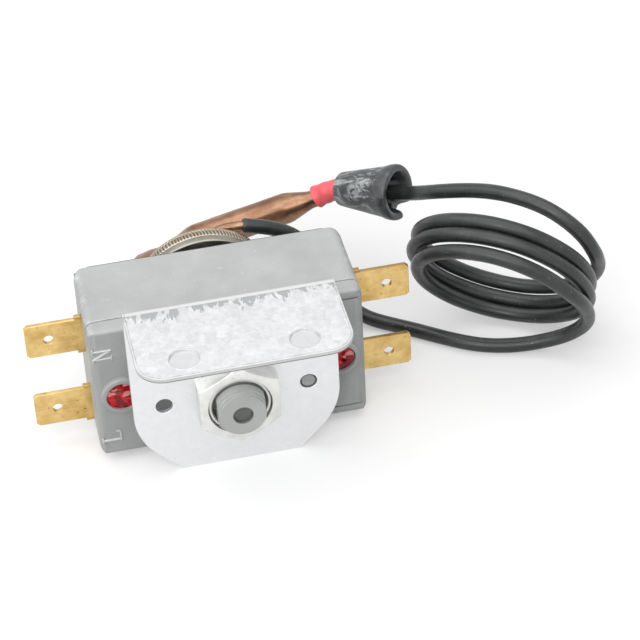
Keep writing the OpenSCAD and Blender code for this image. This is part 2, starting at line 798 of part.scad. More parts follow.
rear_case();
front_cover();
cover_screw_left();
cover_screw_right();
mounting_bracket();
reset_bush();
bush_nut();
reset_button();
button_pin();
contact_carrier();
bridge_n();
bridge_l();
moving_contacts_n();
moving_contacts_l();
terminal_n_left();
terminal_n_right();
terminal_l_left();
terminal_l_right();
fixed_contact_n_left();
fixed_contact_n_right();
fixed_contact_l_left();
fixed_contact_l_right();
trip_spring();
push_pin();
back_plate();
capsule_front();
diaphragm();
capsule_back();
capillary_stub();
capillary_lead();
capillary_coil();
capillary_tail();
grommet();
bulb_shrink_sleeve();
sensing_bulb();
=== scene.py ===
"""Looks of a double-pole thermal cut-out with a capillary and a copper sensing bulb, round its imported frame.

Sizes are in millimetres in the part's own axes (X across the tabs, Y to the back, Z up, zero on the button's
axis at the cover's face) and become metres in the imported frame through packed().
"""

import json
import math

import bmesh
import bpy
import numpy as np
from mathutils import Matrix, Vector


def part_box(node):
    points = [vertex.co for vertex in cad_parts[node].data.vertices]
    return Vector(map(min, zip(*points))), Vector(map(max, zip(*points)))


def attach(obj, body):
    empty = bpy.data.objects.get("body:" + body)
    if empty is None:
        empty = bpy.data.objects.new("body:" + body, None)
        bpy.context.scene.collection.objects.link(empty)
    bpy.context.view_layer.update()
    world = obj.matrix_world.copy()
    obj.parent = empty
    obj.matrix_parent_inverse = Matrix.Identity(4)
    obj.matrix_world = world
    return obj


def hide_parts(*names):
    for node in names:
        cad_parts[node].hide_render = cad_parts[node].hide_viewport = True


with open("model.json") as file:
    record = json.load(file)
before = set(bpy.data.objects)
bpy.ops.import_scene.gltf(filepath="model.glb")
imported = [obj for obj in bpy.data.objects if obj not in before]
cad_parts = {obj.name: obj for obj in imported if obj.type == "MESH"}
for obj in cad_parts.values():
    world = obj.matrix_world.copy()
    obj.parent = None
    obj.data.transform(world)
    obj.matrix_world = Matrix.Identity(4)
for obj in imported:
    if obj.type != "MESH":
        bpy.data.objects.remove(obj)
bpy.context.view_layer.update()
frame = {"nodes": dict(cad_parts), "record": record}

MM = 0.001
FRAME_SHIFT = np.array([0.0, -3.925, 13.8])

# Camera: the photograph's place, direction and lens
CAMERA_PLACE = (-0.043532, -0.330066, 0.282002)
CAMERA_HEADING = math.radians(10.213)
CAMERA_DIP = math.radians(38.113)
CAMERA_ROLL = math.radians(-3.318)
CAMERA_LENS = 146.25
CAMERA_SENSOR = 36

# Capillary: the route's points, close to those in the part's source but with wider bends
BOSS_END = 27.3
STUB_POINTS = [(0, 26.3, 0), (0, 28.1, 0.2), (0.1, 29.2, 1.2), (0.5, 29.5, 3.4), (1.2, 29.1, 6),
               (2.5, 28.2, 8.1), (4.6, 27.6, 9.3), (7.7, 27.3, 9.5)]
LEAD_POINTS = [(7.7, 27.3, 9.5), (12.5, 27.3, 8), (16.5, 27.6, 5.3), (19.6, 27.7, 1.3), (21.7, 27.4, -3.5),
               (23.4, 26.6, -7.3), (25.4, 25.4, -10.2), (28.1, 23.7, -11.9), (31.3, 21.8, -12.5),
               (35.3, 18.8, -12.5), (40, 15, -12.4), (45.1, 11.9, -12.5), (50.8, 10.1, -12.4),
               (55.5, 8.8, -11.5), (58.8, 7.5, -10), (60.9, 5.8, -7.6), (61.6, 3.8, -4.5), (60.9, 1.8, -1),
               (59, -0.5, 3.2), (56.8, -1.6, 6.2)]
TAIL_POINTS = [(59.3, 18.5, -7.8), (62.8, 15.4, -5.6), (64.9, 12.4, -2.1), (65.2, 9.9, 1.6),
               (64.3, 7.6, 5.3), (63, 6.1, 8.5), (61.2, 5.9, 11.8), (58.6, 7, 14.6), (55.7, 9.1, 16.3),
               (52.4, 12.1, 16.8), (49.4, 15.5, 16.2), (45.9, 19.4, 14.7), (42.1, 22.8, 13), (40, 25, 11.7)]
COIL_CENTRE = np.array([47.4, 9.2, 0.4])
COIL_RISE = math.radians(32)
COIL_TURN = math.radians(31)
COIL_R = 15.2
COIL_PITCH = 2.65
COIL_TURNS = 3
POINTS_PER_TURN = 24
# The helix's first point, and the one past its last, that the route takes up
COIL_START = 3
COIL_END = 67
# How far each quarter turn stands out from the coil's radius, and runs ahead of its even advance
COIL_SWELL = np.array([0.4, -0.1, -1.3, 0.3, -0.1, -0.1, 0.2, 0.2, -0.5, -0.1, 0.1, 0.1, 0.2])
COIL_LEAN = np.array([-1.2, 0.1, -0.2, 0, -0.2, 0.4, 0.1, -0.1, -0.2, 0.25, 0.2, 0, 1.2])
CAPILLARY_D = 1.6
SLEEVE_D = 2.5
SLEEVE_BORE = 1.75
SLEEVE_SIDES = 20

# Grommet, shrink sleeve and bulb
GROMMET_HEEL = np.array([27.6, 40.4, 4.3])
GROMMET_DIR = np.array([0.72, -0.652, 0.232])
GROMMET_LEN = 12.0
MOUTH_D = 9.8
HEEL_D = 6.0
MOUTH_WALL = 1.3
CUP_FLOOR = 4.0
NOTCH_H = 3.0
NOTCH_W = 2.9
NOTCH_ANGLE = math.radians(20)
BULB_NECK = np.array([22.8, 42.6, 1.5])
BULB_DIR = np.array([-0.885, 0.258, -0.386])
BULB_D = 5.5
BULB_NECK_D = 3.1
NECK_UNDER = 1.4
CONE_LEN = 4.9
BARREL_LEN = 18.1
TAPER_LEN = 7.7
CRIMP_LEN = 4.6
CRIMP_T = 1.4
CRIMP_TURN = math.radians(20)
SHRINK_D = 3.8

# Capsule behind the housing
RIM_R = 11.7
RIM_FRONT = 21.8
RIM_SEAM = 23.4
LIP_START = 24.95
RIM_BACK = 25.4
PLATE_BACK = 18.8
NECK_R = 5.0
CAP_CROWN = 26.1
WELD_RIPPLES = 126
RIPPLE_H = 0.16

# Bracket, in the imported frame's metres: the flange's top, outline, bend and holes
FLANGE_TOP = 0.0336
FLANGE_FRONT = -0.026375
FLANGE_HALF = 0.017
FLANGE_ROUND = 0.0044
CREASE = -0.0096
SHEET_T = 0.0008
HOLE_X = 0.00945
HOLE_Y = -0.022125
HOLE_R = 0.0023

# Housing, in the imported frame's metres: its edge at the seam, and |x| + z half way round its upper edges
SEAM_EDGE = -0.00075
WORN_CORNER = 0.0486

# Tabs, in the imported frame's metres: the button's height, a tab's middle from it, and half its width
AXIS_HEIGHT = 0.0138
TAB_MIDDLE = 0.0072
TAB_HALF = 0.00315

# Dark joint round the pin in the button's face, its radius in metres
PIN_JOINT = 0.0016

# Lamps face this point, in metres
LIGHT_AIM = (0.02, 0, 0.01)

# Cover details
SCREW_X = 18.0
HEAD_FACE = -0.3
HEAD_D = 5.0
LETTER_H = 3.0
LETTER_W = 2.2
LETTER_STROKE = 0.4
LETTER_RISE = 0.22
LETTER_X = -20.5
LETTER_Z = 8.6


def packed(points):
    """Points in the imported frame, in metres: (point + shift) x 0.001."""
    return (np.asarray(points, float) + FRAME_SHIFT) * MM


def unit(v):
    """Vectors at length one, along the last axis."""
    v = np.asarray(v, float)
    return v / np.linalg.norm(v, axis=-1, keepdims=True)


def smoothstep(x, low, high):
    """0 below low, 1 above high, and 3t^2 - 2t^3 between."""
    t = np.clip((x - low) / (high - low), 0, 1)
    return t * t * (3 - 2 * t)


# Camera, made before the pieces


def photo_camera():
    """Camera turned by heading, dip and roll: forward is (sin h cos d, cos h cos d, -sin d)."""
    sin_h, cos_h = math.sin(CAMERA_HEADING), math.cos(CAMERA_HEADING)
    sin_d, cos_d = math.sin(CAMERA_DIP), math.cos(CAMERA_DIP)
    forward = np.array([sin_h * cos_d, cos_h * cos_d, -sin_d])
    level = np.array([cos_h, -sin_h, 0])
    rise = np.cross(level, forward)
    right = math.cos(CAMERA_ROLL) * level + math.sin(CAMERA_ROLL) * rise
    up = np.cross(right, forward)
    data = bpy.data.cameras.new("photo_camera")
    data.sensor_width = CAMERA_SENSOR
    data.lens = CAMERA_LENS
    camera = bpy.data.objects.new("photo_camera", data)
    turn = np.eye(4)
    turn[:3, 0], turn[:3, 1], turn[:3, 2], turn[:3, 3] = right, up, -forward, CAMERA_PLACE
    camera.matrix_world = Matrix(turn.tolist())
    bpy.context.scene.collection.objects.link(camera)
    bpy.context.scene.camera = camera


# Mesh makers


class Route:
    """A natural cubic spline through chosen points by chord length, read by distance along it."""

    STEP = 0.15

    def __init__(self, points):
        p = np.asarray(points, float)
        knots = np.concatenate([[0], np.cumsum(np.linalg.norm(np.diff(p, axis=0), axis=1))])
        h = np.diff(knots)
        n = len(p)
        system = np.eye(n)
        system[1:-1, :-2] += np.diag(h[:-1])
        system[1:-1, 1:-1] += np.diag(2 * (h[:-1] + h[1:]) - 1)
        system[1:-1, 2:] += np.diag(h[1:])
        slopes = np.diff(p, axis=0) / h[:, None]
        right = np.zeros((n, 3))
        right[1:-1] = 6 * np.diff(slopes, axis=0)
        bend = np.linalg.solve(system, right)
        t = np.linspace(0, knots[-1], max(16, int(knots[-1] / self.STEP)))
        i = np.clip(np.searchsorted(knots, t, side="right") - 1, 0, n - 2)
        a = ((knots[i + 1] - t) / h[i])[:, None]
        b = 1 - a
        w = h[i][:, None] ** 2 / 6
        self.line = a * p[i] + b * p[i + 1] + w * ((a ** 3 - a) * bend[i] + (b ** 3 - b) * bend[i + 1])
        self.run = np.concatenate([[0], np.cumsum(np.linalg.norm(np.diff(self.line, axis=0), axis=1))])
        self.headings = unit(np.gradient(self.line, self.run, axis=0))
        self.length = float(self.run[-1])

    def at(self, s):
        """Places at distances s; past an end the line goes straight on."""
        inside = np.clip(s, 0, self.length)
        place = np.stack([np.interp(inside, self.run, self.line[:, k]) for k in range(3)], axis=-1)
        return place + (s - inside)[..., None] * self.heading(s)

    def heading(self, s):
        """Directions at distances s."""
        return unit(np.stack([np.interp(s, self.run, self.headings[:, k]) for k in range(3)], axis=-1))


def turned_grid(profile, place, axis, side, columns, shape=None):
    """Surface of revolution: point (i, k) = place + along_i axis + radius_i (cos k side + sin k other).

    profile holds (along, radius) rows; shape may change the grids of along and radius before placing.
    """
    profile = np.asarray(profile, float)
    angle = np.linspace(0, 2 * np.pi, columns, endpoint=False)[None, :]
    along = np.repeat(profile[:, :1], columns, axis=1)
    radius = np.repeat(profile[:, 1:2], columns, axis=1)
    if shape:
        along, radius = shape(along, radius, angle)
    axis = unit(axis)
    side = unit(np.asarray(side, float) - np.dot(side, axis) * axis)
    other = np.cross(axis, side)
    spoke = np.cos(angle)[..., None] * side + np.sin(angle)[..., None] * other
    return np.asarray(place, float) + along[..., None] * axis + radius[..., None] * spoke


def swept_grid(route, stations, wide, tall, columns, across):
    """Tube along a route: point (i, k) = route at station i + wide_i cos k u + tall_i sin k v.

    across is a direction that the route never takes: u = heading x across, v = heading x u.
    """
    stations = np.asarray(stations, float)
    place, heading = route.at(stations), route.heading(stations)
    u = unit(np.cross(heading, across))
    v = np.cross(heading, u)
    angle = np.linspace(0, 2 * np.pi, columns, endpoint=False)
    wide = np.broadcast_to(wide, stations.shape)[:, None, None]
    tall = np.broadcast_to(tall, stations.shape)[:, None, None]
    return (place[:, None] + wide * np.cos(angle)[None, :, None] * u[:, None]
            + tall * np.sin(angle)[None, :, None] * v[:, None])


def rounded_profile(corners, radius, steps=5):
    """Profile through corners, each inner one replaced by a quadratic curve that spans radius both ways."""
    p = np.asarray(corners, float)
    before, after = p[:-2] - p[1:-1], p[2:] - p[1:-1]
    reach_before = np.minimum(radius, 0.45 * np.linalg.norm(before, axis=1))[:, None]
    reach_after = np.minimum(radius, 0.45 * np.linalg.norm(after, axis=1))[:, None]
    start, end = p[1:-1] + reach_before * unit(before), p[1:-1] + reach_after * unit(after)
    t = np.linspace(0, 1, steps)[None, :, None]
    curves = (1 - t) ** 2 * start[:, None] + 2 * t * (1 - t) * p[1:-1, None] + t ** 2 * end[:, None]
    return np.concatenate([p[:1], curves.reshape(-1, 2), p[-1:]])


def surface_piece(name, grids, loop_rows=False):
    """Mesh of grids of points in millimetres: four neighbours make a face, and columns close on themselves.

    With loop_rows the rows close as well, as on a ring; otherwise one face closes each end row.
    """
    points, quads, ends, first = [], [], [], 0
    for grid in grids:
        rows, columns = grid.shape[:2]
        index = first + np.arange(rows * columns).reshape(rows, columns)
        near = index if loop_rows else index[:-1]
        far = np.roll(index, -1, axis=0) if loop_rows else index[1:]
        quads.append(np.stack([near, np.roll(near, -1, 1), np.roll(far, -1, 1), far], -1).reshape(-1, 4))
        if not loop_rows:
            ends += [index[0][::-1].tolist(), index[-1].tolist()]
        points.append(grid.reshape(-1, 3))
        first += rows * columns
    mesh = bpy.data.meshes.new(name)
    mesh.from_pydata(packed(np.concatenate(points)).tolist(), [], np.concatenate(quads).tolist() + ends)
    return linked_piece(name, mesh, math.radians(38))


def linked_piece(name, mesh, sharp):
    """Object at the origin with its faces turned outwards, smooth below the sharp angle."""
    work = bmesh.new()
    work.from_mesh(mesh)
    bmesh.ops.recalc_face_normals(work, faces=work.faces)
    work.to_mesh(mesh)
    work.free()
    mesh.shade_smooth()
    mesh.set_sharp_from_angle(angle=sharp)
    piece = bpy.data.objects.new(name, mesh)
    bpy.context.scene.collection.objects.link(piece)
    return piece


def eased_copy(node, width):
    """Copy of a CAD node with flat faces joined, whose sharp edges get a rounded bevel of that width."""
    mesh = frame["nodes"][node].data.copy()
    mesh.materials.clear()
    work = bmesh.new()
    work.from_mesh(mesh)
    bmesh.ops.remove_doubles(work, verts=work.verts, dist=1e-6)
    bmesh.ops.dissolve_limit(work, angle_limit=math.radians(0.4), verts=work.verts, edges=work.edges)
    work.to_mesh(mesh)
    work.free()
    mesh.shade_smooth()
    mesh.set_sharp_from_angle(angle=math.radians(30))
    piece = bpy.data.objects.new(node + "_eased", mesh)
    bpy.context.scene.collection.objects.link(piece)
    bevel = piece.modifiers.new("eased_edges", "BEVEL")
    bevel.width = width * MM
    bevel.segments = 2
    bevel.limit_method = "ANGLE"
    bevel.angle_limit = math.radians(35)
    bevel.harden_normals = True
    return piece


# Finishes


class Finish:
    """A material with its shader and short calls for the nodes that vary it over the surface."""

    def __init__(self, name, colour, roughness, metallic=0.0):
        self.material = bpy.data.materials.new(name)
        self.material.use_nodes = True
        self.tree = self.material.node_tree
        self.shader = self.tree.nodes["Principled BSDF"]
        self.shader.inputs["Base Color"].default_value = (*colour, 1)
        self.shader.inputs["Roughness"].default_value = roughness
        self.shader.inputs["Metallic"].default_value = metallic

    def node(self, kind, **values):
        """A new node of a kind, with its settings."""
        made = self.tree.nodes.new(kind)
        for key, value in values.items():
            setattr(made, key, value)
        return made

    def feed(self, socket, value):
        """Links a socket to a socket, or sets a plain value on it."""
        if isinstance(value, bpy.types.NodeSocket):
            self.tree.links.new(value, socket)
        else:
            socket.default_value = (*value, 1) if isinstance(value, tuple) and len(value) == 3 else value

    def drive(self, name, value):
        """Feeds one of the shader's own sockets."""
        self.feed(self.shader.inputs[name], value)

    def coords(self, stretch=(1, 1, 1), turn=(0, 0, 0)):
        """Object coordinates in metres, turned and then stretched."""
        source = self.node("ShaderNodeTexCoord").outputs["Object"]
        first = self.node("ShaderNodeMapping", vector_type="TEXTURE")
        first.inputs["Rotation"].default_value = turn
        second = self.node("ShaderNodeMapping")
        second.inputs["Scale"].default_value = stretch
        self.feed(first.inputs["Vector"], source)
        self.feed(second.inputs["Vector"], first.outputs["Vector"])
        return second.outputs["Vector"]

    def place(self):
        """X, Y and Z of the surface in metres, as three sockets."""
        split = self.node("ShaderNodeSeparateXYZ")
        self.feed(split.inputs["Vector"], self.node("ShaderNodeTexCoord").outputs["Object"])
        return split.outputs

    def noise(self, vector, scale, detail=3.0, rough=0.55, warp=0.0):
        """Cloudy values from 0 to 1, scale of them in a metre."""
        made = self.node("ShaderNodeTexNoise")
        self.feed(made.inputs["Vector"], vector)
        made.inputs["Scale"].default_value = scale
        made.inputs["Detail"].default_value = detail
        made.inputs["Roughness"].default_value = rough
        made.inputs["Distortion"].default_value = warp
        return made.outputs["Fac"]

    def cells(self, vector, scale, feature="F1"):
        """Cells like crystals, scale of them in a metre."""
        made = self.node("ShaderNodeTexVoronoi", feature=feature)
        self.feed(made.inputs["Vector"], vector)
        made.inputs["Scale"].default_value = scale
        return made

    def band(self, value, low, high, to_low=0.0, to_high=1.0):
        """Value mapped from low..high to to_low..to_high and held at the ends."""
        made = self.node("ShaderNodeMapRange")
        self.feed(made.inputs["Value"], value)
        made.inputs["From Min"].default_value = low
        made.inputs["From Max"].default_value = high
        made.inputs["To Min"].default_value = to_low
        made.inputs["To Max"].default_value = to_high
        return made.outputs["Result"]

    def calc(self, kind, a, b):
        """One step of arithmetic on two values; the second one counts for nothing in ABSOLUTE."""
        made = self.node("ShaderNodeMath", operation=kind)
        self.feed(made.inputs[0], a)
        self.feed(made.inputs[1], b)
        return made.outputs[0]

    def span(self, a, b):
        """Length of the flat vector (a, b)."""
        pair = self.node("ShaderNodeCombineXYZ")
        self.feed(pair.inputs["X"], a)
        self.feed(pair.inputs["Y"], b)
        made = self.node("ShaderNodeVectorMath", operation="LENGTH")
        self.feed(made.inputs[0], pair.outputs["Vector"])
        return made.outputs["Value"]

    def ridge(self, value, middle, reach):
        """1 at a middle value, 0 further than reach from it."""
        return self.band(self.calc("ABSOLUTE", self.calc("SUBTRACT", value, middle), 0), 0, reach, 1, 0)

    def blend(self, share, a, b):
        """Colour a at share 0 and b at 1; the node keeps its colours in sockets 6, 7 and 2."""
        made = self.node("ShaderNodeMix", data_type="RGBA")
        self.feed(made.inputs[0], share)
        self.feed(made.inputs[6], a)
        self.feed(made.inputs[7], b)
        return made.outputs[2]

    def relief(self, height, depth, strength=1.0, under=None):
        """Bump of a height field, depth in millimetres."""
        made = self.node("ShaderNodeBump")
        made.inputs["Strength"].default_value = strength
        made.inputs["Distance"].default_value = depth * MM
        self.feed(made.inputs["Height"], height)
        if under:
            self.feed(made.inputs["Normal"], under)
        self.drive("Normal", made.outputs["Normal"])
        return made.outputs["Normal"]


def axis_turn(direction):
    """Euler angles that lay X along a direction, for patterns that run along a piece."""
    x = unit(direction)
    y = unit(np.cross((0, 0, 1), x))
    z = np.cross(x, y)
    return Matrix(np.stack([x, y, z], axis=1).tolist()).to_euler()


def moulded_grey(name, tone, worn=False, joint=0.0):
    """Grey phenolic moulding: cloudy tone, pale rub marks, a few dust specks, a slightly uneven satin skin.

    A worn one has pale chips along the housing's seam and its long upper edges. One with a joint has a dark
    line at that radius round the button's axis, and painted shade where it enters the bush.
    """
    f = Finish(name, tone, 0.45)
    v = f.coords()
    cloud = f.band(f.noise(v, 110, 3), 0.35, 0.68)
    pale = tuple(min(1.0, 1.1 * c) for c in tone)
    dull = tuple(0.93 * c for c in tone)
    colour = f.blend(cloud, dull, pale)
    rub = f.band(f.noise(f.coords((0.5, 1, 1.4)), 620, 5, 0.7), 0.64, 0.74, 0, 0.4)
    colour = f.blend(rub, colour, (0.72, 0.74, 0.74))
    if worn:
        x, y, z = f.place()
        corner = f.calc("ADD", f.calc("ABSOLUTE", x, 0), z)
        edge = f.calc("MAXIMUM", f.ridge(y, SEAM_EDGE, 0.00025), f.ridge(corner, WORN_CORNER, 0.00035))
        chip = f.calc("MULTIPLY", edge, f.band(f.noise(v, 330, 6, 0.7), 0.44, 0.62, 0, 0.6))
        colour = f.blend(chip, colour, (0.78, 0.8, 0.79))
    if joint:
        x, y, z = f.place()
        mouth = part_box("reset_bush")[0][1]
        line = f.ridge(f.span(x, f.calc("SUBTRACT", z, AXIS_HEIGHT)), joint, 0.00016)
        # painted shade: a dark band round the button where it enters the bush, where the bush's rim shades it
        line = f.calc("MAXIMUM", line, f.ridge(y, mouth - 0.00005, 0.00035))
        colour = f.blend(f.calc("MULTIPLY", line, 0.9), colour, (0.05, 0.05, 0.048))
    speck = f.band(f.noise(v, 1900, 1), 0.745, 0.77, 0, 0.35)
    f.drive("Base Color", f.blend(speck, colour, (0.8, 0.8, 0.78)))
    f.drive("Roughness", f.band(f.noise(v, 300, 4), 0.3, 0.7, 0.38, 0.56))
    f.relief(f.noise(v, 2400, 2), 0.012, 0.5)
    return f.material


def galvanised():
    """Hot-dipped sheet: pale zinc cells, grey teeth along the bend, thin dark lines at edge and holes, painted
    shadow under the front edge.
    """
    f = Finish("galvanised_sheet", (0.8, 0.82, 0.84), 0.4, 0.9)
    wander = f.node("ShaderNodeTexNoise")
    wander.inputs["Scale"].default_value = 700
    f.feed(wander.inputs["Vector"], f.coords())
    warp = f.node("ShaderNodeVectorMath", operation="MULTIPLY_ADD")
    f.feed(warp.inputs[0], wander.outputs["Color"])
    warp.inputs[1].default_value = (0.0022, 0.0022, 0.0022)
    f.feed(warp.inputs[2], f.coords())
    v = warp.outputs["Vector"]
    large = f.cells(v, 760, "SMOOTH_F1").outputs["Color"]
    small = f.cells(v, 1700, "SMOOTH_F1").outputs["Color"]
    cloud = f.noise(f.coords(), 1100, 3, 0.6, 0.6)
    tone = f.calc("ADD", f.calc("MULTIPLY", large, 0.35), f.calc("MULTIPLY", small, 0.3))
    tone = f.calc("ADD", tone, f.calc("MULTIPLY", cloud, 0.35))
    x, y, z = f.place()
    on_flange = f.band(z, FLANGE_TOP - 0.0006, FLANGE_TOP - 0.0002)
    flange = f.blend(f.band(tone, 0.33, 0.65), (0.588, 0.6, 0.612), (0.752, 0.76, 0.765))
    plate = f.blend(f.band(tone, 0.2, 0.8), (0.755, 0.768, 0.778), (0.82, 0.828, 0.835))
    colour = f.blend(on_flange, plate, flange)
    near = f.calc("MULTIPLY", f.band(y, CREASE - 0.0034, CREASE), on_flange)
    tooth = f.noise(f.coords((1.25, 0.5, 1)), 560, 4, 0.62, 0.8)
    patch = f.band(f.calc("ADD", tooth, f.calc("MULTIPLY", near, 0.25)), 0.68, 0.71, 0, 0.95)
    lace = f.ridge(f.noise(f.coords((1, 0.7, 1)), 760, 3, 0.5, 1.0), 0.5, 0.02)
    patch = f.calc("MAXIMUM", patch, f.calc("MULTIPLY", lace, f.band(near, 0.2, 0.7, 0, 0.6)))
    patch = f.calc("MULTIPLY", patch, f.band(near, 0.02, 0.12))
    patch = f.calc("MULTIPLY", patch, f.band(y, CREASE - 0.00005, CREASE + 0.00005, 1, 0))
    colour = f.blend(patch, colour, (0.37, 0.385, 0.385))
    strip = f.band(y, CREASE, CREASE + 0.0001)
    colour = f.blend(f.calc("MULTIPLY", strip, on_flange), colour, (0.68, 0.69, 0.686))
    crease = f.calc("MULTIPLY", f.ridge(y, CREASE, 0.00018), on_flange)
    crease = f.calc("MULTIPLY", crease, f.band(tooth, 0.4, 0.52, 0.25, 0.9))
    colour = f.blend(crease, colour, (0.33, 0.345, 0.345))
    across = f.calc("ABSOLUTE", x, 0)
    round_x = f.calc("SUBTRACT", across, FLANGE_HALF - FLANGE_ROUND)
    round_y = f.calc("SUBTRACT", FLANGE_FRONT + FLANGE_ROUND, y)
    past = f.span(f.calc("MAXIMUM", round_x, 0), f.calc("MAXIMUM", round_y, 0))
    rim = f.calc("SUBTRACT", past, FLANGE_ROUND)
    rim = f.calc("ADD", rim, f.calc("MINIMUM", f.calc("MAXIMUM", round_x, round_y), 0))
    hole = f.span(f.calc("SUBTRACT", across, HOLE_X), f.calc("SUBTRACT", y, HOLE_Y))
    broken = f.band(f.noise(f.coords(), 420, 4), 0.36, 0.56, 0.15, 0.75)
    line = f.calc("MULTIPLY", f.calc("MULTIPLY", f.ridge(rim, -0.00034, 0.00009), on_flange), broken)
    colour = f.blend(line, colour, (0.2, 0.2, 0.19))
    ring = f.calc("MULTIPLY", f.ridge(hole, HOLE_R + 0.00012, 0.0001), on_flange)
    colour = f.blend(f.calc("MULTIPLY", ring, 0.8), colour, (0.4, 0.4, 0.39))
    # painted shadow: a thin dark line along the bottom of the flange's front cut face, where its underside
    # shades it
    under = f.ridge(z, FLANGE_TOP - SHEET_T + 0.00016, 0.00016)
    under = f.calc("MULTIPLY", under, f.band(rim, -0.0003, -0.0001))
    colour = f.blend(f.band(rim, -0.00012, -0.00003, 0, 0.8), colour, (0.58, 0.58, 0.57))
    colour = f.blend(under, colour, (0.15, 0.15, 0.14))
    speck = f.band(f.noise(f.coords(), 1500, 2), 0.71, 0.75, 0, 0.4)
    f.drive("Base Color", f.blend(speck, colour, (0.5, 0.52, 0.54)))
    f.drive("Metallic", f.band(on_flange, 0, 1, 0.9, 0.3))
    f.drive("Roughness", f.band(tone, 0.2, 0.8, 0.5, 0.34))
    f.relief(tone, 0.014, 0.3)
    return f.material


def plated(name, tone, roughness):
    """Bright plated metal: faint clouding, fine grit and small dark pits."""
    f = Finish(name, tone, roughness, 1.0)
    v = f.coords()
    dull = tuple(0.86 * c for c in tone)
    colour = f.blend(f.band(f.noise(v, 420, 4), 0.35, 0.7), dull, tone)
    pit = f.band(f.noise(v, 1800, 2), 0.7, 0.75, 0, 0.55)
    f.drive("Base Color", f.blend(pit, colour, tuple(0.35 * c for c in tone)))
    f.drive("Roughness", f.band(f.noise(v, 900, 3), 0.3, 0.7, roughness - 0.06, roughness + 0.12))
    f.relief(f.noise(v, 2600, 2), 0.01, 0.4)
    return f.material


def tab_brass():
    """Stamped brass: lengthwise drawing lines, tarnished clouds, dark grease spots and painted shade on the
    cut edges.
    """
    f = Finish("tab_brass", (0.7, 0.47, 0.17), 0.36, 1.0)
    v = f.coords()
    cloud = f.band(f.noise(v, 260, 4, 0.6), 0.34, 0.68)
    colour = f.blend(cloud, (0.54, 0.345, 0.11), (0.82, 0.6, 0.26))
    lines = f.noise(f.coords((90, 1000, 1500)), 1, 3, 0.6)
    colour = f.blend(f.band(lines, 0.5, 0.8, 0, 0.5), colour, (0.86, 0.66, 0.32))
    stain = f.band(f.noise(v, 560, 5, 0.7), 0.63, 0.74, 0, 0.75)
    colour = f.blend(stain, colour, (0.27, 0.15, 0.045))
    dot = f.band(f.noise(v, 1700, 1), 0.7, 0.74, 0, 0.85)
    colour = f.blend(dot, colour, (0.09, 0.05, 0.02))
    # painted shade: the tabs' cut edges are darkened, more strongly on the right-hand tabs than on the left
    x, _, z = f.place()
    from_axis = f.calc("ABSOLUTE", f.calc("SUBTRACT", z, AXIS_HEIGHT), 0)
    from_middle = f.calc("ABSOLUTE", f.calc("SUBTRACT", from_axis, TAB_MIDDLE), 0)
    cut = f.band(from_middle, TAB_HALF - 0.00009, TAB_HALF - 0.00003)
    cut = f.calc("MULTIPLY", cut, f.band(x, 0, 0.001, 0.2, 0.75))
    f.drive("Base Color", f.blend(cut, colour, (0.3, 0.18, 0.065)))
    f.drive("Roughness", f.band(f.noise(v, 700, 3), 0.3, 0.7, 0.28, 0.5))
    f.relief(lines, 0.012, 0.4)
    return f.material


def weld_steel():
    """Welded rim: grey-tan steel, olive in the hollows between the bead's strokes, with heat stains."""
    f = Finish("weld_steel", (0.42, 0.39, 0.33), 0.34, 0.95)
    hollow = f.node("ShaderNodeAttribute", attribute_name="hollow").outputs["Fac"]
    stain = f.band(f.noise(f.coords(), 380, 4), 0.35, 0.7)
    colour = f.blend(stain, (0.35, 0.305, 0.24), (0.48, 0.43, 0.355))
    f.drive("Base Color", f.blend(f.band(hollow, 0.15, 0.75, 0, 0.9), colour, (0.12, 0.092, 0.052)))
    f.relief(f.noise(f.coords(), 2200, 2), 0.012, 0.5)
    return f.material


def red_lacquer(name, tone, roughness):
    """Glossy sealing lacquer: painted light and shade make facets from dark to bright red, and painted glints
    mark a few of them.
    """
    f = Finish(name, tone, roughness)
    v = f.coords()
    # painted light and shade: each facet cell gets its own brightness from dark to bright red, dimmed where
    # the lacquer pools
    painted_facet_light = f.band(f.cells(f.coords((1, 1, 0.6)), 760).outputs["Color"], 0.25, 0.75)
    pool = f.band(f.noise(v, 650, 3), 0.36, 0.62, 0.5, 1)
    colour = f.blend(f.calc("MULTIPLY", painted_facet_light, pool), tuple(0.24 * c for c in tone), tone)
    # painted highlights: pale pink glints on a few small cells
    painted_glint = f.band(f.cells(f.coords((0.6, 1, 1)), 1500).outputs["Color"], 0.74, 0.8, 0, 0.6)
    f.drive("Base Color", f.blend(painted_glint, colour, (1, 0.5, 0.5)))
    f.shader.inputs["Specular IOR Level"].default_value = 0.14
    f.shader.inputs["Coat Weight"].default_value = 0.16
    f.shader.inputs["Coat Roughness"].default_value = 0.05
    f.relief(f.noise(v, 1100, 2), 0.08, 0.8)
    return f.material


def sleeve_rubber():
    """Black rubber sleeve: satin skin with faint draw marks, greyed places, and fine pale dust."""
    f = Finish("sleeve_rubber", (0.03, 0.033, 0.033), 0.4)
    v = f.coords()
    grey = f.band(f.noise(v, 150, 4, 0.6), 0.4, 0.7)
    colour = f.blend(grey, (0.017, 0.019, 0.019), (0.038, 0.041, 0.041))
    bloom = f.band(f.noise(v, 900, 5, 0.7), 0.58, 0.75, 0, 0.4)
    colour = f.blend(bloom, colour, (0.085, 0.088, 0.082))
    dust = f.band(f.noise(v, 2600, 1), 0.745, 0.78, 0, 0.5)
    f.drive("Base Color", f.blend(dust, colour, (0.5, 0.48, 0.42)))
    f.drive("Roughness", f.band(f.noise(v, 500, 3), 0.3, 0.7, 0.27, 0.42))
    f.relief(f.noise(v, 1600, 3), 0.015, 0.5)
    return f.material


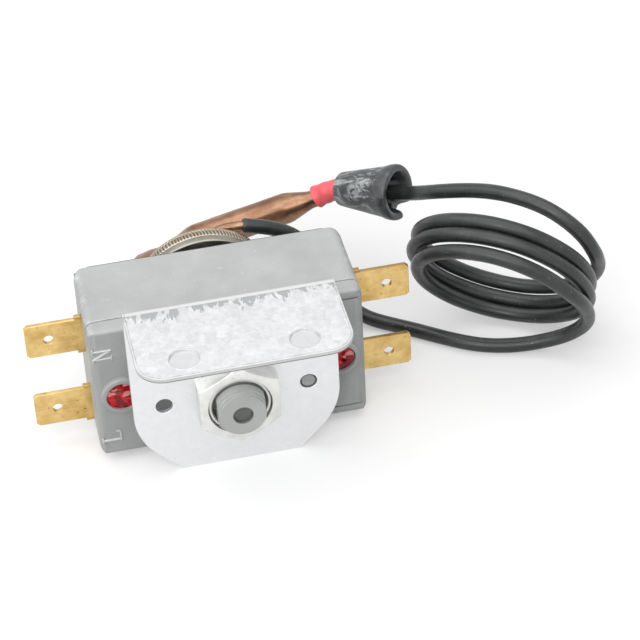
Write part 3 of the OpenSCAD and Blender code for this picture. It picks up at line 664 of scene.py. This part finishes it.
def grommet_rubber():
    """Dark rubber under a chalky bloom that runs in streaks from the heel to the mouth, clean at its rim."""
    f = Finish("grommet_rubber", (0.055, 0.058, 0.06), 0.4)
    turn = axis_turn(GROMMET_DIR)
    flake = f.noise(f.coords((0.36, 1, 1), turn), 400, 6, 0.66, 1.6)
    streak = f.noise(f.coords((0.12, 1, 1), turn), 1300, 3, 0.6, 0.4)
    along = f.node("ShaderNodeVectorMath", operation="DOT_PRODUCT")
    f.feed(along.inputs[0], f.node("ShaderNodeTexCoord").outputs["Object"])
    along.inputs[1].default_value = tuple(unit(GROMMET_DIR))
    heel = float(np.dot(packed(GROMMET_HEEL), unit(GROMMET_DIR)))
    body = f.band(along.outputs["Value"], heel + 0.0086, heel + 0.0104, 1, 0.12)
    chalk = f.calc("MULTIPLY", f.band(flake, 0.485, 0.6, 0, 0.92), f.band(streak, 0.3, 0.6, 0.45, 1))
    chalk = f.calc("MULTIPLY", chalk, body)
    cloud = f.band(f.noise(f.coords(), 600, 3), 0.35, 0.7)
    clean = f.blend(cloud, (0.026, 0.029, 0.031), (0.07, 0.075, 0.078))
    f.drive("Base Color", f.blend(chalk, clean, (0.44, 0.46, 0.47)))
    f.drive("Roughness", f.band(chalk, 0, 0.8, 0.34, 0.7))
    f.relief(flake, 0.12, 0.5)
    return f.material


def shrink_red():
    """Red shrink sleeve: satin skin, lengthwise drag marks and a smear of grime."""
    f = Finish("shrink_red", (0.86, 0.12, 0.14), 0.38)
    v = f.coords()
    cloud = f.band(f.noise(v, 330, 3), 0.35, 0.7)
    colour = f.blend(cloud, (0.74, 0.085, 0.105), (0.92, 0.15, 0.165))
    grime = f.band(f.noise(v, 480, 5, 0.7), 0.62, 0.76, 0, 0.5)
    f.drive("Base Color", f.blend(grime, colour, (0.5, 0.09, 0.07)))
    f.drive("Roughness", f.band(f.noise(v, 800, 3), 0.3, 0.7, 0.3, 0.48))
    f.relief(f.noise(v, 700, 3), 0.05, 0.4)
    return f.material


def copper(name, direction):
    """Handled copper tube: streaks along its axis, brown oxide clouds, dark spots, and bright streaks that are
    partly rubs and partly painted highlight.
    """
    f = Finish(name, (0.3, 0.178, 0.118), 0.34, 0.9)
    turn = axis_turn(direction)
    v = f.coords()
    streak = f.noise(f.coords((0.16, 1, 1), turn), 620, 4, 0.6)
    cloud = f.noise(v, 190, 4, 0.6)
    colour = f.blend(f.band(cloud, 0.35, 0.66), (0.2, 0.1, 0.06), (0.35, 0.2, 0.125))
    # bright streaks along the axis: partly rubs, partly a painted highlight
    colour = f.blend(f.band(streak, 0.52, 0.75, 0, 0.6), colour, (0.6, 0.42, 0.27))
    oxide = f.band(f.noise(f.coords((0.4, 1, 1), turn), 900, 5, 0.7), 0.6, 0.74, 0, 0.7)
    f.drive("Base Color", f.blend(oxide, colour, (0.12, 0.055, 0.032)))
    f.drive("Roughness", f.band(streak, 0.3, 0.7, 0.24, 0.44))
    f.relief(streak, 0.02, 0.4)
    return f.material


# Pieces of the capillary


def coil_axes():
    """Right, up and axis of the coil: right and up span a turn's plane, and the axis rises to the back."""
    right = np.array([math.cos(COIL_TURN), -math.sin(COIL_TURN), 0])
    level = np.array([math.sin(COIL_TURN), math.cos(COIL_TURN), 0])
    axis = math.cos(COIL_RISE) * level + math.sin(COIL_RISE) * np.array([0, 0, 1])
    return right, np.cross(right, axis), axis


def sleeve_route():
    """Lead, helix centre + r (cos a right + sin a up) + s axis for nearly three turns, and tail.

    r = radius + swell and s = pitch a / 2 pi + lean; swell and lean ease from one quarter turn to the next.
    """
    right, up, axis = coil_axes()
    turns = np.linspace(0, COIL_TURNS, COIL_TURNS * POINTS_PER_TURN + 1)[COIL_START:COIL_END]
    quarter = np.minimum((4 * turns).astype(int), len(COIL_SWELL) - 2)
    ease = smoothstep(4 * turns - quarter, 0, 1)
    r = COIL_R + COIL_SWELL[quarter] * (1 - ease) + COIL_SWELL[quarter + 1] * ease
    s = COIL_PITCH * turns + COIL_LEAN[quarter] * (1 - ease) + COIL_LEAN[quarter + 1] * ease
    a = 2 * np.pi * turns[:, None]
    helix = COIL_CENTRE + r[:, None] * (np.cos(a) * right + np.sin(a) * up) + s[:, None] * axis
    inside = GROMMET_HEEL + np.array([[GROMMET_LEN], [GROMMET_LEN / 2], [0]]) * unit(GROMMET_DIR)
    return Route(np.concatenate([LEAD_POINTS, helix, TAIL_POINTS, inside]))


def capillary_sleeve(route):
    """Tube of nearly even radius r (1 + small waves), with a lip and an open bore at its cut end."""
    bore = SLEEVE_BORE / 2
    r = SLEEVE_D / 2
    run = np.linspace(0.35, route.length, int(route.length / 0.4))
    skin = r * (1.02 + 0.008 * np.sin(run / 3.1) + 0.006 * np.sin(run / 1.3 + 1))
    stations = np.concatenate([[2.0, 0.1, 0.0, 0.0, 0.12], run])
    radii = np.concatenate([[bore, bore, bore + 0.06, r - 0.14, r - 0.03], skin])
    grid = swept_grid(route, stations, radii, radii, SLEEVE_SIDES, coil_axes()[2])
    return surface_piece("capillary_sleeve", [grid])


def bare_capillary():
    """Thin copper tube from the capsule's boss into the sleeve's end, with a solder collar at the boss."""
    route = Route(STUB_POINTS)
    stations = np.linspace(0, route.length + 1.6, 90)
    collar = 0.5 * smoothstep(2.4 - stations, 0, 1.2)
    radii = CAPILLARY_D / 2 + collar
    return surface_piece("bare_capillary", [swept_grid(route, stations, radii, radii, 20, (1, 1, 0))])


def grommet_cup():
    """Conical cup turned from a rounded closed profile; at the notch the rim is pressed down by NOTCH_H."""
    bore = SLEEVE_D / 2 + 0.05
    heel, mouth = HEEL_D / 2, MOUTH_D / 2
    corners = [(CUP_FLOOR, bore), (2, bore), (0, bore + 0.5), (0, heel - 0.1), (1.1, heel + 0.12),
               (GROMMET_LEN - 2.6, mouth - 0.42), (GROMMET_LEN - 1.4, mouth), (GROMMET_LEN, mouth),
               (GROMMET_LEN, mouth - MOUTH_WALL), (GROMMET_LEN - 1.6, mouth - MOUTH_WALL - 0.25),
               (CUP_FLOOR + 0.3, heel - 0.55), (CUP_FLOOR, bore + 0.3), (CUP_FLOOR, bore)]
    profile = rounded_profile(corners, 0.75, 6)[:-1]

    def notched(along, radius, angle):
        off = np.angle(np.exp(1j * (angle - NOTCH_ANGLE))) * mouth
        depth = 1 / (1 + (off / (NOTCH_W / 2)) ** 8)
        low = GROMMET_LEN - NOTCH_H
        pressed = np.where(along > low, low + (along - low) * (1 - 0.94 * depth), along)
        wobble = 0.06 * np.sin(3 * angle + 0.6) + 0.04 * np.sin(5 * angle)
        return pressed, radius + wobble * smoothstep(along, 1, GROMMET_LEN) * smoothstep(radius, 1.6, 3)

    level = np.cross((0, 0, 1), unit(GROMMET_DIR))
    down = np.cross(level, unit(GROMMET_DIR))
    grid = turned_grid(profile, GROMMET_HEEL, GROMMET_DIR, down if down[2] < 0 else -down, 144, notched)
    return surface_piece("grommet_cup", [grid], loop_rows=True)


def shrink_route():
    """Quadratic bend from the grommet's heel to the bulb's neck, leaving each along its own axis."""
    heel_dir, bulb_dir = unit(GROMMET_DIR), unit(BULB_DIR)
    reach = np.linalg.norm(BULB_NECK - GROMMET_HEEL)
    knee = (GROMMET_HEEL - heel_dir * reach / 2 + BULB_NECK - bulb_dir * reach / 2) / 2
    t = np.linspace(0, 1, 9)[:, None]
    return Route((1 - t) ** 2 * GROMMET_HEEL + 2 * t * (1 - t) * knee + t ** 2 * BULB_NECK)


def shrink_sleeve():
    """Sleeve r (1 + flare at the bulb + creases at the bend), with a wall and a rim at its bulb end."""
    route = shrink_route()
    end = route.length - 0.9
    run = np.linspace(-1.2, end, 60)
    r = SHRINK_D / 2
    crease = 0.03 * np.sin(run * 2.6) * np.exp(-((run - route.length / 2) / 2.2) ** 2)
    flare = 0.09 * smoothstep(run, end - 1.6, end)
    radii = np.concatenate([r * (1 + crease + flare), [r * 1.06, r * 0.98, r * 0.8, r * 0.78]])
    stations = np.concatenate([run, [end + 0.14, end + 0.18, end + 0.1, end - 0.8]])
    return surface_piece("shrink_sleeve", [swept_grid(route, stations, radii, radii, 40, (0, 0, 1))])


def copper_bulb():
    """Neck, cone, shoulder and barrel turned about the bulb's axis, and a tail from round to flat.

    A section of the tail keeps its width and is pressed by 1 - p (1 - t / d); p eases in over the taper.
    """
    r, neck = BULB_D / 2, BULB_NECK_D / 2
    end = CONE_LEN + BARREL_LEN
    tip = end + TAPER_LEN + CRIMP_LEN
    corners = [(-NECK_UNDER, 0.3), (-NECK_UNDER, neck), (0.5, neck + 0.02), (CONE_LEN - 0.3, r - 0.06),
               (CONE_LEN + 0.5, r + 0.01), (CONE_LEN + 6, r - 0.03), (end - 8, r), (end, r)]
    barrel = rounded_profile(corners, 0.5, 4)
    tail = np.linspace(end + 0.15, tip - 0.1, 40)
    tube = np.stack([tail, np.full(len(tail), r)], axis=1)
    profile = np.concatenate([barrel, tube, [(tip, 0.94 * r), (tip, 0.3 * r)]])
    axis = unit(BULB_DIR)
    level = unit(np.cross((0, 0, 1), axis))
    down = np.cross(level, axis)
    wide = math.cos(CRIMP_TURN) * level - math.sin(CRIMP_TURN) * down
    flat = math.cos(CRIMP_TURN) * down + math.sin(CRIMP_TURN) * level
    grid = turned_grid(profile, (0, 0, 0), (0, 0, 1), (1, 0, 0), 72)
    pressed = smoothstep(grid[..., 2], end - 0.6, end + TAPER_LEN)
    thin = 1 - pressed * (1 - CRIMP_T / BULB_D)
    dent = 0.12 * pressed * np.sin(1.3 * grid[..., 2]) * (1 - (grid[..., 0] / r) ** 2)
    placed = (BULB_NECK + grid[..., 2:3] * axis + grid[..., :1] * wide
              + (thin * grid[..., 1] + dent)[..., None] * flat)
    return surface_piece("copper_bulb", [placed])


# Capsule


def capsule_dish():
    """Front half of the capsule: foot, neck and flare to a plain bright rim."""
    corners = [(PLATE_BACK, 1.2), (PLATE_BACK, NECK_R + 1), (PLATE_BACK + 0.8, NECK_R + 1),
               (PLATE_BACK + 0.8, NECK_R), (PLATE_BACK + 1.65, NECK_R), (RIM_FRONT, RIM_R - 0.8),
               (RIM_FRONT + 0.1, RIM_R - 0.1), (RIM_SEAM - 0.2, RIM_R), (RIM_SEAM, RIM_R - 0.25),
               (RIM_SEAM, RIM_R - 1.6), (RIM_FRONT - 0.9, 1.2)]
    profile = rounded_profile(corners, 0.3, 5)
    return surface_piece("capsule_dish", [turned_grid(profile, (0, 0, 0), (0, 1, 0), (1, 0, 0), 128)])


def capsule_cap():
    """Rear half: bead r + h |sin(n a / 2 + lean)|, a plain lip behind it, then a stepped dome with a boss.

    The mesh keeps the bead's hollows as the attribute hollow, for its finish.
    """
    boss = CAPILLARY_D / 2 + 1.4
    corners = [(RIM_SEAM, 2), (RIM_SEAM, RIM_R - 0.2), (RIM_SEAM + 0.2, RIM_R), (RIM_SEAM + 0.7, RIM_R),
               (RIM_SEAM + 1.2, RIM_R), (LIP_START, RIM_R), (RIM_BACK - 0.1, RIM_R), (RIM_BACK, RIM_R - 0.3),
               (RIM_BACK, RIM_R - 1.8), (CAP_CROWN, RIM_R - 3.2), (CAP_CROWN, boss),
               (BOSS_END - 0.1, boss - 0.1), (BOSS_END, boss - 0.4), (BOSS_END, 0.6)]
    profile = rounded_profile(corners, 0.2, 5)
    hollows = []

    def rippled(along, radius, angle):
        on_bead = smoothstep(along, RIM_SEAM + 0.05, RIM_SEAM + 0.3)
        on_bead = on_bead * smoothstep(-along, -LIP_START, 0.2 - LIP_START)
        on_bead = on_bead * smoothstep(radius, RIM_R - 0.9, RIM_R - 0.3)
        uneven = 0.35 * np.sin(7 * angle) + 0.3 * np.sin(17 * angle + 1)
        wave = np.abs(np.sin(WELD_RIPPLES / 2 * angle + 0.8 * (along - RIM_SEAM) + uneven))
        hollows.append(on_bead * (1 - wave))
        return along, radius + on_bead * RIPPLE_H * (wave - 1)

    grid = turned_grid(profile, (0, 0, 0), (0, 1, 0), (1, 0, 0), WELD_RIPPLES * 8, rippled)
    piece = surface_piece("capsule_cap", [grid])
    hollow = piece.data.attributes.new("hollow", "FLOAT", "POINT")
    hollow.data.foreach_set("value", hollows[0].ravel())
    return piece


# Cover details


def lacquer_film():
    """Crumpled film on the left screw: height = fourth lowest of many tilted planes, which makes facets."""
    rng = np.random.default_rng(7)
    rings, columns = 26, 72
    radius = np.linspace(0, HEAD_D / 2 + 0.12, rings)[:, None]
    angle = np.linspace(0, 2 * np.pi, columns, endpoint=False)[None, :]
    x, z = radius * np.cos(angle), radius * np.sin(angle)
    tilt = rng.uniform(-0.34, 0.34, (14, 2))
    lift = rng.uniform(0.28, 0.62, 14)
    planes = lift[:, None, None] + tilt[:, :1, None] * x + tilt[:, 1:, None] * z
    fold = np.sort(planes, axis=0)[3] + 0.04 * np.sin(3.1 * x + 1.7 * z)
    edge = smoothstep(HEAD_D / 2 + 0.12 - radius, 0, 0.5)
    top = HEAD_FACE - 0.06 - np.clip(fold, 0.05, 0.42) * edge
    face = np.stack([x - SCREW_X, top, z], axis=-1)
    base = np.stack([x[-1:] - SCREW_X, np.full((1, columns), HEAD_FACE + 0.25), z[-1:]], axis=-1)
    return surface_piece("lacquer_film", [np.concatenate([face[1:], base])])


def letter_strokes(strokes, centre_x, centre_z):
    """Raised strokes: each is a flat oval bar along a line of (right, up) points, half sunk in the cover."""
    grids = []
    for points, share in strokes:
        p = np.asarray(points, float) - 0.5
        across, rise = centre_x - p[:, 1] * LETTER_H, centre_z + p[:, 0] * LETTER_W
        route = Route(np.stack([across, np.zeros(len(p)), rise], axis=1))
        s = np.linspace(0, route.length, 12)
        taper = np.sqrt(np.clip(np.sin(np.pi * (0.04 + 0.92 * s / route.length)) * 4, 0, 1))
        half = LETTER_STROKE / 2 * share
        grids.append(swept_grid(route, s, half * taper, LETTER_RISE * taper, 12, (0, 1, 0)))
    return grids


def terminal_letters():
    """The two terminal marks, N above and L below, read with their tops to the left."""
    serif = 0.7
    mark_n = [([(0.14, 0), (0.14, 1)], 0.8), ([(0.86, 0), (0.86, 1)], 0.8), ([(0.12, 1), (0.88, 0)], 1.3),
              ([(-0.06, 0), (0.34, 0)], serif), ([(-0.08, 1), (0.2, 1)], serif),
              ([(0.66, 1), (1.06, 1)], serif)]
    mark_l = [([(0.2, 0), (0.2, 1)], 1.2), ([(0.02, 0), (0.95, 0)], 0.9), ([(0.0, 1), (0.42, 1)], serif),
              ([(0.95, 0), (1.0, 0.24)], serif)]
    grids = letter_strokes(mark_n, LETTER_X, LETTER_Z) + letter_strokes(mark_l, LETTER_X, -LETTER_Z)
    return surface_piece("terminal_letters", grids)


# Setting and light


def shown_rays(tree):
    """1 for camera, glossy and transmission rays, which see white paper, and 0 for light on the object."""
    rays = tree.nodes.new("ShaderNodeLightPath")
    first = tree.nodes.new("ShaderNodeMath")
    second = tree.nodes.new("ShaderNodeMath")
    first.operation = second.operation = "MAXIMUM"
    tree.links.new(rays.outputs["Is Camera Ray"], first.inputs[0])
    tree.links.new(rays.outputs["Is Glossy Ray"], first.inputs[1])
    tree.links.new(first.outputs[0], second.inputs[0])
    tree.links.new(rays.outputs["Is Transmission Ray"], second.inputs[1])
    return second.outputs[0]


def paper_floor():
    """Large sheet of white paper at the object's feet that takes a faint shadow."""
    reach = 2.5
    corners = [(-reach, -reach, 0), (reach, -reach, 0), (reach, reach, 0), (-reach, reach, 0)]
    mesh = bpy.data.meshes.new("paper_floor")
    mesh.from_pydata(corners, [], [(0, 1, 2, 3)])
    floor = bpy.data.objects.new("paper_floor", mesh)
    bpy.context.scene.collection.objects.link(floor)
    material = bpy.data.materials.new("white_paper")
    material.use_nodes = True
    material.cycles.emission_sampling = "NONE"
    tree = material.node_tree
    tree.nodes.remove(tree.nodes["Principled BSDF"])
    bounce = tree.nodes.new("ShaderNodeBsdfDiffuse")
    bounce.inputs["Color"].default_value = (0.42, 0.42, 0.42, 1)
    shade = tree.nodes.new("ShaderNodeBsdfDiffuse")
    shade.inputs["Color"].default_value = (0.6, 0.6, 0.6, 1)
    glow = tree.nodes.new("ShaderNodeEmission")
    glow.inputs["Strength"].default_value = 0.36
    seen = tree.nodes.new("ShaderNodeAddShader")
    choice = tree.nodes.new("ShaderNodeMixShader")
    tree.links.new(shade.outputs[0], seen.inputs[0])
    tree.links.new(glow.outputs[0], seen.inputs[1])
    tree.links.new(shown_rays(tree), choice.inputs[0])
    tree.links.new(bounce.outputs[0], choice.inputs[1])
    tree.links.new(seen.outputs[0], choice.inputs[2])
    tree.links.new(choice.outputs[0], tree.nodes["Material Output"].inputs["Surface"])
    mesh.materials.append(material)


def soft_box(name, place, size, power, aim):
    """Square area lamp at a place, facing a point."""
    data = bpy.data.lights.new(name, "AREA")
    data.size = size
    data.energy = power
    lamp = bpy.data.objects.new(name, data)
    away = unit(np.asarray(place, float) - np.asarray(aim, float))
    side = unit(np.cross((0, 1, 0.1), away))
    turn = np.eye(4)
    turn[:3, 0], turn[:3, 1], turn[:3, 2], turn[:3, 3] = side, np.cross(away, side), away, place
    lamp.matrix_world = Matrix(turn.tolist())
    bpy.context.scene.collection.objects.link(lamp)


def studio_light():
    """White surroundings for the eye and for gloss, dimmer for light on the object, and two soft boxes."""
    world = bpy.data.worlds.new("white_tent")
    bpy.context.scene.world = world
    world.use_nodes = True
    tree = world.node_tree
    seen = tree.nodes["Background"]
    seen.inputs["Strength"].default_value = 1.0
    seen.inputs["Color"].default_value = (1, 1, 1, 1)
    fill = tree.nodes.new("ShaderNodeBackground")
    fill.inputs["Strength"].default_value = 0.38
    choice = tree.nodes.new("ShaderNodeMixShader")
    tree.links.new(shown_rays(tree), choice.inputs[0])
    tree.links.new(fill.outputs[0], choice.inputs[1])
    tree.links.new(seen.outputs[0], choice.inputs[2])
    tree.links.new(choice.outputs[0], tree.nodes["World Output"].inputs["Surface"])
    soft_box("overhead_box", (-0.24, -0.2, 0.8), 1.8, 16.8, LIGHT_AIM)
    soft_box("front_box", (-0.3, -0.65, 0.5), 0.26, 0.8, LIGHT_AIM)


# Assembly


def settle(piece, material, nodes, body="housing"):
    """Gives a piece its finish, body and slot, and lets it stand for its CAD nodes."""
    piece.data.materials.append(material)
    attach(piece, body)
    if nodes:
        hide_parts(*nodes)
    return piece


photo_camera()

FINISHES = {
    "case_plastic": moulded_grey("case_plastic", (0.42, 0.43, 0.425), True),
    "cover_plastic": moulded_grey("cover_plastic", (0.385, 0.397, 0.39), True),
    "screw_lacquer": red_lacquer("screw_lacquer", (0.95, 0.045, 0.065), 0.26),
    "galvanised_sheet": galvanised(),
    "plated_metal": plated("plated_metal", (0.79, 0.79, 0.765), 0.42),
    "button_plastic": moulded_grey("button_plastic", (0.505, 0.52, 0.503), joint=PIN_JOINT),
    "button_pin": plated("button_pin", (0.15, 0.152, 0.15), 0.5),
    "carrier_plastic": moulded_grey("carrier_plastic", (0.76, 0.74, 0.66)),
    "bridge_bronze": plated("bridge_bronze", (0.62, 0.4, 0.18), 0.35),
    "contact_silver": plated("contact_silver", (0.8, 0.79, 0.76), 0.28),
    "tab_brass": tab_brass(),
    "spring_steel": plated("spring_steel", (0.5, 0.5, 0.5), 0.32),
    "plate_steel": plated("plate_steel", (0.12, 0.12, 0.115), 0.45),
    "capsule_steel": plated("capsule_steel", (0.56, 0.51, 0.43), 0.34),
    "copper": copper("copper", BULB_DIR),
    "sleeve_rubber": sleeve_rubber(),
    "grommet_rubber": grommet_rubber(),
    "shrink_red": shrink_red(),
}

# The capillary with its grommet, shrink sleeve and bulb
cord_route = sleeve_route()
sleeve = settle(capillary_sleeve(cord_route), FINISHES["sleeve_rubber"],
                ["capillary_lead", "capillary_coil", "capillary_tail"])
stub = settle(bare_capillary(), FINISHES["copper"], ["capillary_stub"])
grommet = settle(grommet_cup(), FINISHES["grommet_rubber"], ["grommet"])
shrink = settle(shrink_sleeve(), FINISHES["shrink_red"], ["bulb_shrink_sleeve"])
bulb = settle(copper_bulb(), FINISHES["copper"], ["sensing_bulb"])

# The capsule
settle(capsule_dish(), plated("capsule_rim", (0.3, 0.28, 0.245), 0.36), ["capsule_front"])
settle(capsule_cap(), weld_steel(), ["capsule_back"])

# The cover's small details
settle(lacquer_film(), red_lacquer("crumpled_lacquer", (0.84, 0.014, 0.026), 0.12), [])
settle(terminal_letters(), moulded_grey("letter_plastic", (0.6, 0.61, 0.6)), [])

# CAD nodes that are seen get eased edges, their widths in millimetres, in the finish of their slot
EASED = {"rear_case": 0.22, "front_cover": 0.2, "mounting_bracket": 0.12, "reset_bush": 0.3,
         "bush_nut": 0.16, "reset_button": 0.1, "button_pin": 0.08, "back_plate": 0.12,
         "cover_screw_left": 0.08, "cover_screw_right": 0.08, "terminal_n_left": 0.09,
         "terminal_n_right": 0.09, "terminal_l_left": 0.09, "terminal_l_right": 0.09}
slot_of = {entry["node"]: entry["material_slot"] for entry in frame["record"]["subparts"]}
body_of = {}
for body, members in frame["record"]["behaviour"]["bodies"].items():
    for node in members:
        body_of[node] = body
for node, width in EASED.items():
    settle(eased_copy(node, width), FINISHES[slot_of[node]], [node], body_of[node])
for node, obj in frame["nodes"].items():
    obj.data.materials.clear()
    obj.data.materials.append(FINISHES[slot_of[node]])

paper_floor()
studio_light()
bpy.context.scene.view_settings.view_transform = "Standard"
